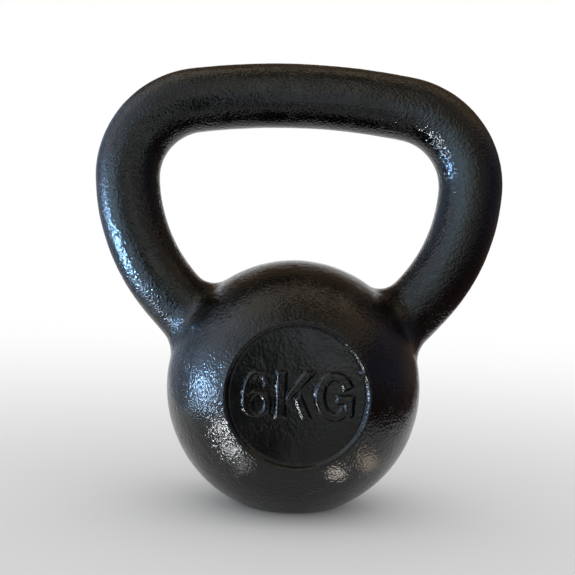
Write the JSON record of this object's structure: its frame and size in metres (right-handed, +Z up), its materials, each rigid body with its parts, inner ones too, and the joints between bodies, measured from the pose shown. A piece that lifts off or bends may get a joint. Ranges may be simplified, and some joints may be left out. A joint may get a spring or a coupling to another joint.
{
  "type": "kettlebell",
  "caption": "Round iron exercise weight with a flat base, a closed loop handle of round bar, a sunk round face front and back, and a raised weight mark.",
  "frame": {"origin": "middle of the flat base, on the surface that the bell stands on", "axes": "+Z up through the middle of the grip; -Y out of the marked face; the handle's loop lies in the XZ plane"},
  "size_m": [0.1782, 0.0938, 0.1914],
  "materials": {
    "pebbled_enamel": "gloss",
    "grip_enamel": "gloss",
    "smooth_enamel": "gloss",
    "mark_enamel": "gloss"
  },
  "bodies": {
    "root": {"ball": "pebbled_enamel", "handle": "grip_enamel", "left_root_fillet": "grip_enamel", "right_root_fillet": "grip_enamel", "front_face": "smooth_enamel", "rear_face": "smooth_enamel", "numeral_6": "mark_enamel", "letter_k": "mark_enamel", "letter_g": "mark_enamel"}
  },
  "joints": []
}
